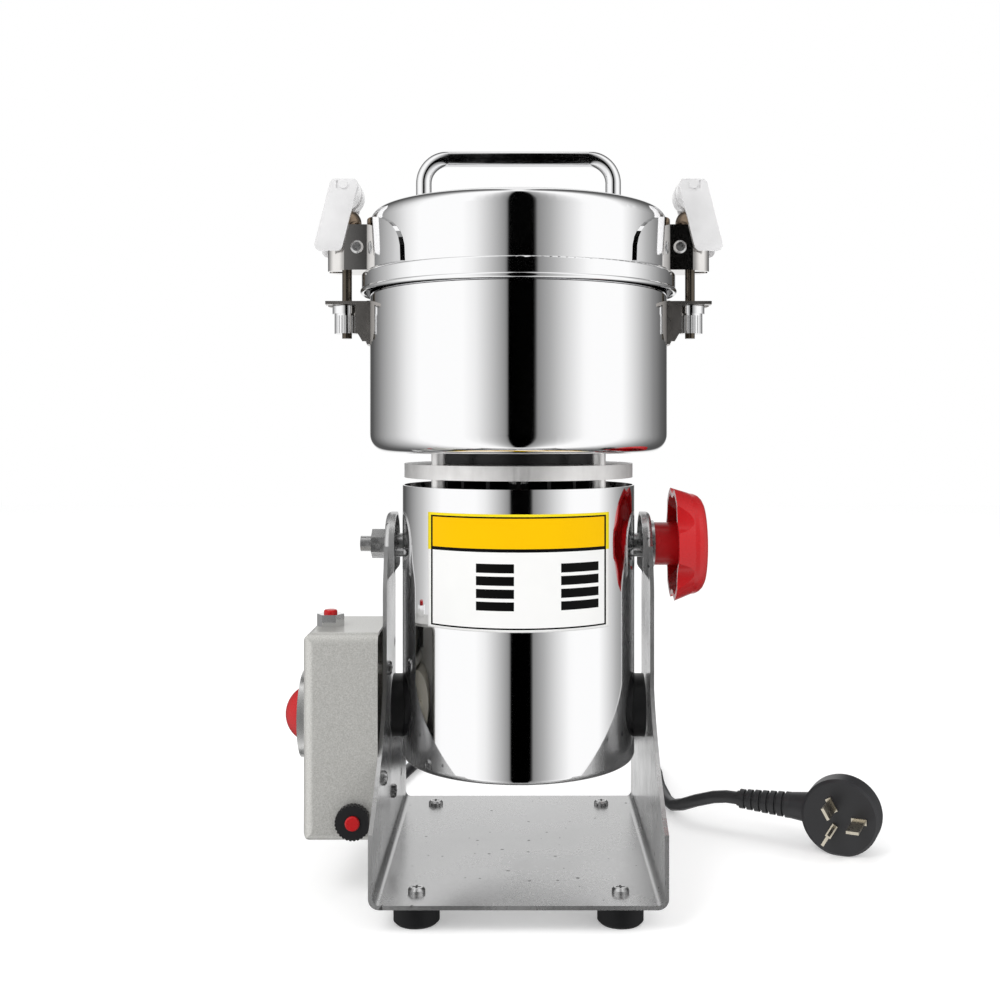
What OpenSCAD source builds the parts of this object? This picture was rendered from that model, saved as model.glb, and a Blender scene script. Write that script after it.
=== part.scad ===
// Electric grain mill: a tilting high-speed mill with a clamped lid, in millimetres.
// Z is up and the floor is at zero. The origin lies under the middle of the outline,
// so the mill's own axis stands a little to the right of it.

/* [Motor body] */
// Outer diameter of the motor shell
shell_d = 119; // [110:1:124]
// Height of the motor shell
shell_h = 138.6; // [130:0.2:160]
// Sheet thickness of the motor shell
shell_t = 1; // [0.8:0.1:1.5]
// Height of the pivot above the shell's bottom edge
pivot_up = 108; // [104:1:112]
// Space between the base plate and the shell
shell_rise = 46.6; // [42:0.2:60]

/* [Base frame] */
// Depth of the frame from front to back
frame_depth = 165; // [155:1:190]
// Sheet thickness of the frame
frame_t = 2; // [1.5:0.1:2.5]
// Gap between the shell and each side plate
side_gap = 6; // [5.6:0.1:9]
// Half depth of the side plate's neck
neck_half = 22; // [20:0.5:26]
// Radius of the lug head round the pivot
lug_r = 16.5; // [16:0.1:19]
// Height of the rubber feet
foot_h = 11.4; // [9:0.2:16]
// Diameter of the rubber feet
foot_d = 21.4; // [18:0.2:26]

/* [Bowl and lid] */
// Outer diameter of the bowl and of the lid
bowl_d = 152; // [146:1:154]
// Height of the bowl up to the lower edge of the lid's band
bowl_h = 80.7; // [77:0.1:95]
// Sheet thickness of the bowl and the lid
bowl_t = 1.2; // [0.8:0.1:1.5]
// Rounding of the bowl's bottom edge
bowl_corner = 9; // [6:0.5:12]
// Height of the lid's band
band_h = 9.5; // [8.5:0.1:12]
// Height of the lid above its band
lid_h = 32.5; // [32:0.5:40]
// Rounding of the lid's shoulder
lid_corner = 7; // [5:0.5:8]
// Width of the lid handle over its two legs
handle_w = 105.5; // [90:0.5:112]
// Height of the handle above the lid
handle_h = 32; // [28:0.5:40]
// Diameter of the handle's rod
handle_d = 8; // [6:0.5:10]

/* [Control box] */
// Reach of the control box out from the side plate
box_w = 36; // [34:0.5:44]
// Length of the control box from front to back
box_l = 60; // [58:1:70]
// Height of the control box
box_h = 100; // [96:1:115]
// Rounding of the control box's edges
box_r = 5; // [3:0.5:7]
// Diameter of the timer knob
timer_knob_d = 26.5; // [22:0.5:30]

/* [Tilt clamp] */
// Rim diameter of the star knob
knob_d = 59; // [54:1:64]
// Length of the star knob along its axis
knob_l = 25.5; // [24:0.1:32]
// Number of hollows round the star knob
knob_lobes = 6; // [5:1:8]
// Largest forward tilt of the mill in degrees
tilt_max = 100; // [60:1:102]

/* [Latches] */
// Distance of the pull rod outside the bowl's wall
rod_out = 12.3; // [12.3:0.1:14]
// Diameter of the pull rod
rod_d = 5; // [4.6:0.1:5.2]
// Length of the cam lever below its pin
lever_l = 33.5; // [32:0.5:40]
// Width of the cam lever seen from the front
lever_w = 14; // [13.5:0.5:15.5]
// Lean of the closed lever in degrees
lever_lean = 14; // [13:0.5:17]

/* [Cord and plug] */
// Diameter of the power cord
cord_d = 7; // [6:0.1:7]
// Diameter of the plug's round face
plug_d = 41; // [38:0.5:44]
// Depth of the plug from its face to its back
plug_t = 26; // [22:0.5:30]

/* [Hidden] */
$fn = 48;

// Shared fits: a cut's overrun, a running fit, a loose seat and a gap beside moving parts
over = 1;
fit = 0.06;
seat = 0.2;
gap = 0.3;

// Heights that everything else is stacked from
shell_r = shell_d / 2;
base_top = foot_h + frame_t;
shell_z = base_top + shell_rise;
shell_top = shell_z + shell_h;
pivot_z = shell_z + pivot_up;

// Base frame
frame_in = shell_r + side_gap;
frame_half = frame_in + frame_t;
frame_bend = 5;
depth_half = frame_depth / 2;
sweep_z = 45;
neck_z = 98;
neck_drop = 24;
neck_top = pivot_z - neck_drop;
sweep_shares = [[0.34, 0.17], [0.87, 0.62]];
neck_share = 0.35;
curve_steps = 14;
lug_rim_w = 3;
lug_rim_t = 1.6;
lug_round = 2.5;
lug_rim_low = 18;
lug_rim_run = 7;
foot_x = 47;
foot_y = 66;
foot_chamfer = 1.2;
foot_hole_r = 2.1;
foot_hole_deep = 8;
foot_head_r = 4;
foot_head_h = 2.5;
screw_dome = 1;
drive_w = 1;
drive_deep = 1;
spare_hole_r = 2.4;
spare_hole_shares = [[0.22, 0.68], [0.65, 0.21]];

// Pivot
stud_r = 4;
stud_head_h = 5.3;
stud_ring_l = 2.75;
hex_across = 15;
spacer_r = 5.5;
pivot_nut_h = 7.5;
stud_out = 13.6;
stop_r = 2.2;
stop_at = 11.4;
stop_angle = 197.5;
stop_slack = 1.5;
stop_gap = 0.2;

// Motor unit
shell_edge_r = 3;
shell_lip = 8;
bolt_hole_r = stud_r + seat;
cap_r = 16;
cap_clear = 1.2;
cap_t = side_gap - cap_clear;
cap_up = 25;
cap_neck_r = 8;
cap_neck_l = 5;
cap_slot_w = 2;
base_disc_t = 1.5;
vent_count = 8;
vent_r = 5;
vent_at = 34;
bracket_gap = 3.9;
bracket_t = 7;
bracket_r = shell_r - shell_t;
stand_r = 3.4;
stand_edge = 0.3;
stand_sink = 8;
stand_angle = 45;
bracket_windows_r = 11;
bracket_windows_at = 32;
collar_r = 39.5;
collar_h = 5.8;
collar_bore_r = 12;
shaft_r = 5;
bearing_r = 13;
bearing_h = 8;
bearing_race = 2.6;
bearing_wall = 2.4;
bearing_cover = 1.2;
seal_back = 0.5;
lower_hub_h = 10;
lower_hub_r = 17;
lower_plate_t = 4;
lower_up = 6;
core_up = 40;
core_h = 40;
core_bore_r = 28;
coil_r = 6.4;
coil_end_r = 5.4;
coil_at = 41;
air_gap = 0.6;
rotor_r = core_bore_r - air_gap;
rotor_slots = 12;
rotor_slot_w = 3;
rotor_slot_deep = 5;
comm_r = 16;
comm_h = 16;
comm_up = 17;
comm_bars = 12;
comm_groove = 0.8;
brush_w = 9;
fan_up = 130;
fan_h = 11.5;
fan_r = 40;
fan_hub_r = 16.6;
fan_hub_h = 9;
fan_blades = 16;
fan_blade_t = 2;
fan_plate_t = 1.5;

// Bowl, lid and blades
bowl_r = bowl_d / 2;
bracket_z = shell_top + bracket_gap;
collar_z = bracket_z + bracket_t;
bowl_z = collar_z + collar_h;
band_z = bowl_z + bowl_h;
lid_z = band_z + band_h;
lid_top = lid_z + lid_h;
band_out = 4.2;
band_r = bowl_r + band_out;
band_lip = 1.3;
rim_up = 4;
gasket_w = 8.3;
seal_r = 12;
seal_h = 4.2;
seal_flange = 4;
seal_flange_t = 1.8;
handle_bend = 16.6;
blade_t = 2;
blade_w = 18;
blade_half = 62;
blade_tip = 16;
blade_bend = 32;
spacer_blade_r = 9;
blade_low = 8.6;
blade_rises = [14, 10];
blade_turns = [60, 120];
blade_shares = [0.88, 0.72];
nut_h = 8;
nut_across = 19;
shaft_end = 3;

// Latches, drawn for the right side with x outward from the bowl's axis
rod_x = bowl_r + rod_out;
rod_r = rod_d / 2;
plate_t = 1.5;
pad_t = 1.6;
pad_half = 54;
pad_h = 26;
pad_up = 1;
pad_steps = 24;
pad_square = 0.62;
nose_r = 9.8;
bracket_y = nose_r + plate_t;
bracket_up = 2.1;
bracket_h = 23;
bracket_low = lid_z + bracket_up;
bracket_top = bracket_low + bracket_h;
ball_up = 2;
ball_z = bracket_top + ball_up;
washer_r = 7.5;
washer_flat = 5.7;
ball_z_top = ball_z + washer_flat;
cam_r = 9.4;
cam_off = 3.05;
cam_phase = 35;
swing_max = 25;
pin_z = ball_z_top + gap + cam_r + cam_off * cos(cam_phase);
pin_r = 2.1;
pin_head = 0.7;
eye_r = 3.4;
eye_half = 2.2;
lever_gap = 0.4;
lever_in = bracket_y + lever_gap;
lever_t = 1.5;
lever_above = 2.8;
lever_round = 3;
cheek_slot = [1.1, 4];
cheek_slot_out = 2.7;
web_top = 8;
lug_drop = 4.1;
lug_top = band_z - lug_drop;
lug_t = 1.6;
lug_out = 10.2;
lug_y = 10.4;
lug_h = 22;
lug_back_y = 12;
lug_web = 6.6;
lug_web_straight = 14.5;
bow_gap = 0.05;
slot_half = rod_r + gap;
nut_r = 6.35;
nut_flange_r = 7.4;
nut_flange_h = 4;
nut_l = 14.1;
nut_grooves = 24;
groove_r = 0.45;
rod_tail = 2.4;
bracket_screw_x = 6.6;
bracket_screw_up = 11.5;
bracket_screw_r = 1.8;
bracket_head_r = 3.3;
bracket_head_h = 1.7;
bracket_nut_h = 2.6;
bracket_nut_across = 7;
// Depth below the ball at which the leaning rod leaves the nose, which sets its slot
rod_escape = (nose_r - plate_t - rod_r * cos(swing_max)) / tan(swing_max) - rod_r * sin(swing_max);

// Control box
box_y = -45;
box_z = 29;
box_t = 1.5;
box_mid_y = box_y + box_l / 2;
box_out = frame_half + box_w;
box_top = box_z + box_h;
timer_in = 27;
timer_down = 44;
timer_y = box_y + timer_in;
timer_z = box_top - timer_down;
timer_r = 17.5;
timer_l = 22;
dial_r = 21.5;
dial_t = 3.8;
dial_bush_r = 5;
dial_ring_w = 2.2;
dial_step = 0.8;
timer_shaft_r = 3;
knob_lift = 0.5;
knob_dome = 8.5;
knob_skirt = 1;
breaker_out = 11.5;
breaker_up = 10.5;
breaker_x = frame_half + breaker_out;
breaker_z = box_z + breaker_up;
ring_r = 8.5;
ring_t = 4;
ring_teeth = 28;
ring_tooth_r = 0.45;
ring_flat = 7.6;
breaker_r = 7;
breaker_l = 26;
button_edge = 0.6;
reset_r = 3.5;
reset_out = 1.5;
reset_travel = 1.5;
reset_l = 8;
switch_out = 26.2;
switch_in = 25;
switch_x = frame_half + switch_out;
switch_y = box_y + switch_in;
hex_r = 6.8;
hex_h = 6;
switch_w = 11.4;
switch_h = 14;
power_r = 3.35;
power_out = 2;
power_l = 4.5;
power_stem_r = 2;
power_stem_l = 9;
power_travel = 2;
post_r = 3;
box_post_shares = [[0.5, 0.78], [0.9, 0.09], [0.12, 0.29]];
box_posts = [for (p = box_post_shares) [box_y + p[0] * box_l, box_z + p[1] * box_h]];
screw_r = 1.6;
screw_head_r = 3.6;
screw_head_h = 2;
gland_out = 17.5;
gland_up = 16;
gland_x = frame_half + gland_out;
gland_z = box_z + gland_up;
gland_l = 30;
gland_r = 7;
gland_tip_r = 4.6;
gland_flange_r = 9;
gland_flange_t = 3;
gland_ribs = 5;
gland_rib_w = 1.6;
gland_rib_h = 0.9;

// Distances that the outline reaches on each side of the mill's axis, and its place
left_reach = box_out + dial_t + knob_lift + knob_dome;
washer_t = 1.5;
washer_gap = 0.3;
knob_x = frame_half + washer_gap + washer_t;
lever_reach = rod_x + (lever_w / 2 - lever_round) / cos(lever_lean)
    + (lever_l - lever_round) * tan(lever_lean) + lever_round;
right_reach = max(knob_x + knob_l, lever_reach);
mill_x = (left_reach - right_reach) / 2;

// Star knob
knob_boss_r = 11;
knob_head = 9.8;
knob_face_r = 24.5;
knob_round = 7;
knob_steps = 5;
knob_wall = 2.3;
lobe_r = 14;
lobe_valley = 26;
knob_bore = 20;
knob_stud = 18;
washer_r_out = 12;

// Cord: the points are places of its centre line beside the mill's axis, chosen by hand
cord_r = cord_d / 2;
cord_sides = 8;
coil_sides = 6;
run_points = [
    [-85, 45, 45], [-85, 52, 45], [-85, 62, 43.5], [-85, 72, 39.5], [-85, 80.5, 33.5],
    [-84.5, 89.5, 24.5], [-84, 98.5, 16], [-83, 107, 9.5], [-82, 116.5, 5.5],
    [-80.5, 127, 4.3], [-78, 141, 4.3], [-75, 155, 4.3], [-72, 169, 4.3], [-69, 182, 4.3],
    [-67, 195, 4.3], [-66, 203, 4.3], [-66, 208, 4.3]
];
tail_points = [
    [-13, 261, 11.9], [-6, 261, 11.9], [8, 260.5, 11.3], [22, 259.5, 9.5], [36, 257, 7],
    [49, 252, 5], [61, 244.5, 4], [71, 234.5, 3.5], [79, 222.5, 3.5], [85, 209, 3.5],
    [88.5, 195, 3.5], [90, 180, 3.5], [90, 165, 3.5], [89, 150, 3.5], [88.5, 135, 3.5],
    [89, 120, 3.5], [89.5, 107, 3.5], [91.5, 94, 4.5], [95.5, 82, 8.5], [102, 71.5, 14],
    [110.5, 63, 18.5], [117, 59, 20], [123, 56, 20]
];
coil_at_x = -20;
coil_at_y = 215;
coil_z = 4.3;
coil_r_out = 46;
coil_pitch = 7.6;
coil_turns = 4.25;
coil_turn_in = 2.125;
coil_climb = 0.25;
coil_rings = 24;
tie_turn = 0.66;
tie_w = 5;
tie_t = 0.6;
tie_gap = 0.1;

// Plug, lying on the floor with its face half turned to the front
plug_x = 175.9;
plug_y = 31.3;
plug_z = 20;
plug_turn = -25;
plug_back_r = 14;
plug_edge = 3;
relief_l = 38;
relief_r = 7;
relief_tip_r = 5;
relief_ribs = 7;
relief_rib_w = 2.6;
relief_plain = 8;
relief_root = 9;
pin_w = 6.4;
pin_t = 1.5;
line_pin_l = 18;
earth_pin_l = 21;
line_pin_at = 7.92;
earth_pin_at = 10.31;
line_pin_turn = 60;
blade_pin_turn = 30;
collar_w = 0.8;
collar_l = 1.4;

// Helpers for place and direction
module at_mill() {
    translate([mill_x, 0, 0]) children();
}
module both_sides() {
    children();
    mirror([1, 0, 0]) children();
}
module to_x() {
    rotate([0, 90, 0]) children();
}
module to_y() {
    rotate([-90, 0, 0]) children();
}
// Takes a flat outline of depth and height into the plane across the pivot
module side_slab(x, thick) {
    translate([x, 0, 0]) rotate([90, 0, 90]) linear_extrude(height = thick) children();
}
// Takes a flat outline of width and height and pulls it from front to back
module front_slab(half) {
    rotate([90, 0, 0]) linear_extrude(height = 2 * half, center = true) children();
}
function bezier(a, b, c, d, steps) = [
    for (i = [0:steps])
        let (t = i / steps, s = 1 - t)
            s * s * s * a + 3 * s * s * t * b + 3 * s * t * t * c + t * t * t * d
];
function flipped(points) = [
    for (i = [len(points) - 1:-1:0]) [-points[i][0], points[i][1]]
];
module rounded_rect(w, h, r) {
    translate([-w / 2 + r, -h / 2]) square([w - 2 * r, h]);
    translate([-w / 2, -h / 2 + r]) square([w, h - 2 * r]);
    for (x = [-1, 1], y = [-1, 1])
        translate([x * (w / 2 - r), y * (h / 2 - r)]) circle(r = r);
}
module ring(outer, inner, h) {
    difference() {
        cylinder(r = outer, h = h);
        translate([0, 0, -over]) cylinder(r = inner, h = h + 2 * over);
    }
}
// Half outline of a cup with a rounded bottom edge, for turning
module cup_outline(r, h, corner) {
    square([r - corner, h]);
    translate([0, corner]) square([r, h - corner]);
    translate([r - corner, corner]) circle(r = corner);
}
// Domed cross-slot screw head that faces up
module screw_head(r, h) {
    difference() {
        union() {
            cylinder(r = r, h = h - screw_dome);
            translate([0, 0, h - screw_dome]) cylinder(r1 = r, r2 = r - screw_dome, h = screw_dome);
        }
        for (turn = [0, 90])
            rotate([0, 0, turn]) translate([-r / 2, -drive_w / 2, h - drive_deep])
                cube([r, drive_w, drive_deep + over]);
    }
}

// Base frame
right_edge = concat(
    [[depth_half, foot_h]],
    bezier(
        [depth_half, sweep_z],
        [depth_half - sweep_shares[0][0] * (depth_half - neck_half),
         sweep_z + sweep_shares[0][1] * (neck_z - sweep_z)],
        [depth_half - sweep_shares[1][0] * (depth_half - neck_half),
         sweep_z + sweep_shares[1][1] * (neck_z - sweep_z)],
        [neck_half, neck_z], curve_steps),
    bezier(
        [neck_half, neck_top], [neck_half, neck_top + neck_share * (pivot_z - neck_top)],
        [lug_r, pivot_z - neck_share * (pivot_z - neck_top)], [lug_r, pivot_z], curve_steps)
);
module plate_outline() {
    polygon(concat(right_edge, flipped(right_edge)));
    translate([0, pivot_z]) circle(r = lug_r);
}
module bend_outline(half, low, r) {
    top = pivot_z + lug_r + over;
    translate([-half + r, low]) square([2 * (half - r), top - low]);
    translate([-half, low + r]) square([2 * half, top - low - r]);
    for (side = [-1, 1])
        translate([side * (half - r), low + r]) circle(r = r);
}
module sheet() {
    front_slab(depth_half + over) difference() {
        bend_outline(frame_half, foot_h, frame_bend);
        translate([0, over]) bend_outline(frame_in, base_top - over, frame_bend - frame_t);
    }
}
// Inward rim folded round the lug head, which runs out into the neck's edge
module lug_rim() {
    intersection() {
        side_slab(frame_in - lug_rim_w, lug_rim_w) translate([0, pivot_z]) difference() {
            union() {
                circle(r = lug_r);
                translate([-lug_r, -lug_rim_low]) square([2 * lug_r, lug_rim_low]);
            }
            circle(r = lug_r - lug_rim_t);
            translate([-lug_r + lug_rim_t, -lug_rim_low - over])
                square([2 * (lug_r - lug_rim_t), lug_rim_low + over]);
        }
        front_slab(lug_r + over) polygon(concat(
            [[frame_in + over, pivot_z + lug_r + over],
             [frame_in - lug_rim_w - over, pivot_z + lug_r + over]],
            bezier(
                [frame_in - lug_rim_w, pivot_z - lug_rim_low + lug_rim_run],
                [frame_in - lug_rim_w, pivot_z - lug_rim_low + lug_rim_run / 2],
                [frame_in, pivot_z - lug_rim_low + lug_rim_run / 2],
                [frame_in, pivot_z - lug_rim_low], curve_steps),
            [[frame_in + over, pivot_z - lug_rim_low]]
        ));
    }
}
// Round that the fold leaves on the outside of the lug head
module lug_fold() {
    translate([frame_half - lug_round, 0, pivot_z]) rotate([90, 0, 90])
        rotate_extrude(angle = 180) difference() {
            translate([lug_r - lug_round, 0]) square([lug_round + over, lug_round + over]);
            translate([lug_r - lug_round, 0]) circle(r = lug_round);
        }
}
// Arc slot that the stop pin rides in while the mill tilts
module stop_slot() {
    r = stop_r + stop_gap;
    translate([frame_in - over, 0, pivot_z]) rotate([90, 0, 90]) {
        rotate([0, 0, stop_angle - stop_slack])
            rotate_extrude(angle = tilt_max + 2 * stop_slack)
                translate([stop_at - r, 0]) square([2 * r, frame_t + 2 * over]);
        for (turn = [stop_angle - stop_slack, stop_angle + tilt_max + stop_slack])
            rotate([0, 0, turn]) translate([stop_at, 0, 0])
                cylinder(r = r - fit, h = frame_t + 2 * over);
    }
}
module base_frame() {
    color("silver") at_mill() difference() {
        union() {
            intersection() {
                sheet();
                side_slab(-frame_half - over, 2 * (frame_half + over)) plate_outline();
            }
            both_sides() lug_rim();
        }
        both_sides() {
            lug_fold();
            stop_slot();
            translate([frame_in - over, 0, pivot_z]) to_x()
                cylinder(r = stud_r + fit, h = frame_t + 2 * over);
        }
        for (x = [-1, 1], y = [-1, 1])
            translate([x * foot_x, y * foot_y, foot_h - over])
                cylinder(r = foot_hole_r, h = frame_t + 2 * over);
        for (p = box_posts)
            translate([-frame_half - over, p[0], p[1]]) to_x()
                cylinder(r = screw_r + seat, h = frame_t + 2 * over);
        for (p = spare_hole_shares)
            translate([-frame_half - over, p[0] * depth_half, p[1] * pivot_z]) to_x()
                cylinder(r = spare_hole_r, h = frame_t + 2 * over);
    }
}
module rubber_feet() {
    color("dimgray") at_mill() for (x = [-1, 1], y = [-1, 1])
        translate([x * foot_x, y * foot_y, 0]) difference() {
            union() {
                cylinder(r1 = foot_d / 2 - foot_chamfer, r2 = foot_d / 2, h = foot_chamfer);
                translate([0, 0, foot_chamfer]) cylinder(r = foot_d / 2, h = foot_h - foot_chamfer);
            }
            translate([0, 0, foot_h - foot_hole_deep]) cylinder(r = foot_hole_r, h = foot_hole_deep + over);
        }
}
module foot_screws() {
    shank = foot_hole_r - fit;
    color("gray") at_mill() for (x = [-1, 1], y = [-1, 1])
        translate([x * foot_x, y * foot_y, 0]) {
            translate([0, 0, base_top]) screw_head(foot_head_r, foot_head_h);
            translate([0, 0, foot_h - foot_hole_deep + over])
                cylinder(r = shank, h = foot_hole_deep - over + frame_t);
        }
}

// Control box
module box_block(inset, open) {
    r = box_r - inset;
    w = box_w - inset + open + r;
    h = box_h - 2 * inset;
    l = box_l - 2 * inset;
    x = -box_out + inset + w / 2;
    intersection() {
        translate([x, box_mid_y, box_z + box_h / 2]) front_slab(l / 2) rounded_rect(w, h, r);
        translate([x, box_mid_y, box_z + inset]) linear_extrude(height = h) rounded_rect(w, l, r);
        side_slab(-box_out, box_w + open) translate([box_mid_y, box_z + box_h / 2])
            rounded_rect(l, h, r);
    }
}
module control_box_cover() {
    color("lightgray") at_mill() difference() {
        union() {
            difference() {
                box_block(0, 0);
                box_block(box_t, over);
            }
            for (p = box_posts)
                translate([-box_out + box_t / 2, p[0], p[1]]) to_x()
                    cylinder(r = post_r, h = box_w - box_t / 2);
        }
        for (p = box_posts)
            translate([-frame_half - box_w / 2, p[0], p[1]]) to_x()
                cylinder(r = screw_r + fit, h = box_w / 2 + over);
        translate([-box_out - over, timer_y, timer_z]) to_x()
            cylinder(r = dial_bush_r + seat, h = box_t + 2 * over);
        translate([-breaker_x, box_y - over, breaker_z]) to_y()
            cylinder(r = reset_r + 2 * seat, h = box_t + 2 * over);
        translate([-switch_x, switch_y, box_top - box_t - over])
            cylinder(r = power_r + 3 * seat, h = box_t + 2 * over);
        translate([-gland_x, box_y + box_l - box_t - over, gland_z]) to_y()
            cylinder(r = cord_r + 2 * seat, h = box_t + 2 * over);
    }
}
module control_box_screws() {
    color("gray") at_mill() for (p = box_posts)
        translate([-frame_in, p[0], p[1]]) to_x() {
            screw_head(screw_head_r, screw_head_h);
            translate([0, 0, -box_w / 2 + over]) cylinder(r = screw_r, h = box_w / 2 - over);
        }
}
module timer_body() {
    color("ivory") at_mill() translate([-box_out + box_t, timer_y, timer_z]) to_x() {
        cylinder(r = timer_r, h = timer_l);
        for (y = [-1, 1])
            translate([-dial_bush_r / 2, y * dial_bush_r - dial_t / 2, timer_l])
                cube([dial_bush_r, dial_t, dial_t]);
    }
}
module timer_dial_plate() {
    color("silver") at_mill() translate([-box_out - dial_t, timer_y, timer_z]) to_x()
        difference() {
            union() {
                translate([0, 0, dial_step]) cylinder(r = dial_r, h = dial_t - dial_step);
                ring(dial_r, dial_r - dial_ring_w, dial_t);
                cylinder(r = dial_bush_r, h = dial_t + box_t - fit);
            }
            translate([0, 0, -over]) cylinder(r = timer_shaft_r + fit, h = dial_t + box_t + 2 * over);
        }
}
module timer_knob() {
    base = timer_knob_d / 2;
    dome_r = (base * base + knob_dome * knob_dome) / (2 * knob_dome);
    color("red") at_mill() translate([-box_out - dial_t - knob_lift, timer_y, timer_z]) {
        intersection() {
            translate([dome_r - knob_dome, 0, 0]) sphere(r = dome_r);
            translate([-knob_dome - over, 0, 0]) to_x() cylinder(r = base, h = knob_dome + over);
        }
        translate([-knob_skirt, 0, 0]) to_x()
            cylinder(r = timer_shaft_r, h = knob_skirt + knob_lift + dial_t + box_t - gap);
    }
}
module breaker_body() {
    color("black") at_mill() translate([-breaker_x, box_y + box_t, breaker_z]) to_y() difference() {
        cylinder(r = breaker_r, h = breaker_l);
        translate([0, 0, -over]) cylinder(r = reset_r + fit, h = reset_l + reset_travel + over);
    }
}
module breaker_ring_nut() {
    color("black") at_mill() translate([-breaker_x, box_y - ring_t, breaker_z]) to_y() difference() {
        cylinder(r = ring_r, h = ring_t);
        translate([0, 0, -over]) cylinder(r = reset_r + fit, h = ring_t + 2 * over);
        for (i = [0:ring_teeth - 1])
            rotate([0, 0, i * 360 / ring_teeth]) translate([ring_r, 0, -over])
                cylinder(r = ring_tooth_r, h = ring_t + 2 * over);
        translate([ring_flat, -ring_r, -over]) cube([ring_r, 2 * ring_r, ring_t + 2 * over]);
    }
}
module reset_button() {
    color("red") at_mill() translate([-breaker_x, box_y - ring_t - reset_out, breaker_z]) to_y()
        union() {
            translate([0, 0, button_edge])
                cylinder(r = reset_r, h = ring_t + reset_out + reset_l - button_edge);
            cylinder(r1 = reset_r - button_edge, r2 = reset_r, h = button_edge);
        }
}
module switch_body() {
    color("silver") at_mill() translate([-switch_x, switch_y, box_top]) difference() {
        union() {
            cylinder(r = hex_r, h = hex_h, $fn = 6);
            translate([0, 0, -box_t - seat]) cylinder(r = power_r + 2 * seat, h = box_t + 2 * seat);
            translate([-switch_w / 2, -switch_w / 2, -box_t - fit - switch_h])
                cube([switch_w, switch_w, switch_h]);
        }
        translate([0, 0, hex_h + power_out - power_l - power_travel - gap])
            cylinder(r = power_r + fit, h = power_l + power_travel + over);
        translate([0, 0, hex_h - power_l - power_stem_l - power_travel])
            cylinder(r = power_stem_r + fit, h = power_l + power_stem_l);
    }
}
module power_button() {
    color("red") at_mill() translate([-switch_x, switch_y, box_top + hex_h + power_out]) {
        translate([0, 0, -power_l]) cylinder(r = power_r, h = power_l - button_edge);
        translate([0, 0, -button_edge])
            cylinder(r1 = power_r, r2 = power_r - button_edge, h = button_edge);
        translate([0, 0, -power_l - power_stem_l + power_out])
            cylinder(r = power_stem_r, h = power_stem_l);
    }
}
module cord_gland() {
    taper = (gland_r - gland_tip_r) / (gland_l - gland_flange_t);
    step = (gland_l - gland_flange_t) / (gland_ribs + 1);
    color("black") at_mill() translate([-gland_x, box_y + box_l, gland_z]) to_y() {
        cylinder(r = gland_flange_r, h = gland_flange_t);
        translate([0, 0, gland_flange_t])
            cylinder(r1 = gland_r, r2 = gland_tip_r, h = gland_l - gland_flange_t);
        for (i = [1:gland_ribs])
            translate([0, 0, gland_flange_t + i * step - gland_rib_w / 2])
                cylinder(r = gland_r - taper * i * step + gland_rib_h, h = gland_rib_w);
    }
}

// Cord
function unit(v) = v / norm(v);
function tangent(points, i) = unit(points[min(i + 1, len(points) - 1)] - points[max(i - 1, 0)]);
// One ring of the tube at a point, square to the way that the route runs there
function tube_ring(p, along, sides) =
    let (side = unit(cross(along, [0, 0, 1])), up = cross(side, along))
        [for (k = [0:sides - 1])
            p + cord_r * (cos((k + 0.5) * 360 / sides) * side + sin((k + 0.5) * 360 / sides) * up)];
module tube(points, sides) {
    last = len(points) - 1;
    rings = [for (i = [0:last]) each tube_ring(points[i], tangent(points, i), sides)];
    walls = [
        for (i = [0:last - 1], k = [0:sides - 1])
            let (a = i * sides + k, b = i * sides + (k + 1) % sides)
                each [[a, b, b + sides], [a, b + sides, a + sides]]
    ];
    ends = [
        for (k = [1:sides - 2]) each [
            [0, k + 1, k], [last * sides, last * sides + k, last * sides + k + 1]]
    ];
    polyhedron(points = rings, faces = concat(walls, ends));
}
function coil_radius(turn) = coil_r_out - coil_pitch * (coil_turn_in - abs(turn - coil_turn_in));
function coil_share(turn) =
    min(1, max(0, (turn - coil_turn_in + coil_climb) / (2 * coil_climb)));
function coil_point(turn) =
    let (angle = 180 - 360 * turn, r = coil_radius(turn))
        [coil_at_x + r * cos(angle), coil_at_y + r * sin(angle),
         coil_z + coil_pitch * coil_share(turn)];
coil_loop = [for (i = [0:coil_turns * coil_rings]) coil_point(i / coil_rings)];
coil_points = concat(
    [coil_loop[0] - [0, cord_d, 0]],
    coil_loop,
    [coil_loop[len(coil_loop) - 1] + [cord_d, 0, 0]]
);
function route_length(points) =
    len(points) < 2 ? 0 : [for (i = [1:len(points) - 1]) norm(points[i] - points[i - 1])]
        * [for (i = [1:len(points) - 1]) 1];
coil_gaps = [
    for (i = [0:len(coil_loop) - 1], j = [i + coil_rings / 2:1:len(coil_loop) - 1])
        norm(coil_loop[i] - coil_loop[j]) - cord_d
];
echo(mill_x = mill_x, pivot_z = pivot_z, rod_x = rod_x, ball_z = ball_z, pin_z = pin_z);
echo(coil_least_gap = min(coil_gaps));
echo(cord_lengths = [route_length(run_points), route_length(coil_points), route_length(tail_points)]);
module cord_run() {
    color("black") at_mill() tube(run_points, cord_sides);
}
module cord_coil() {
    color("black") at_mill() tube(coil_points, coil_sides);
}
module cord_tail() {
    color("black") at_mill() tube(tail_points, cord_sides);
}
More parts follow.
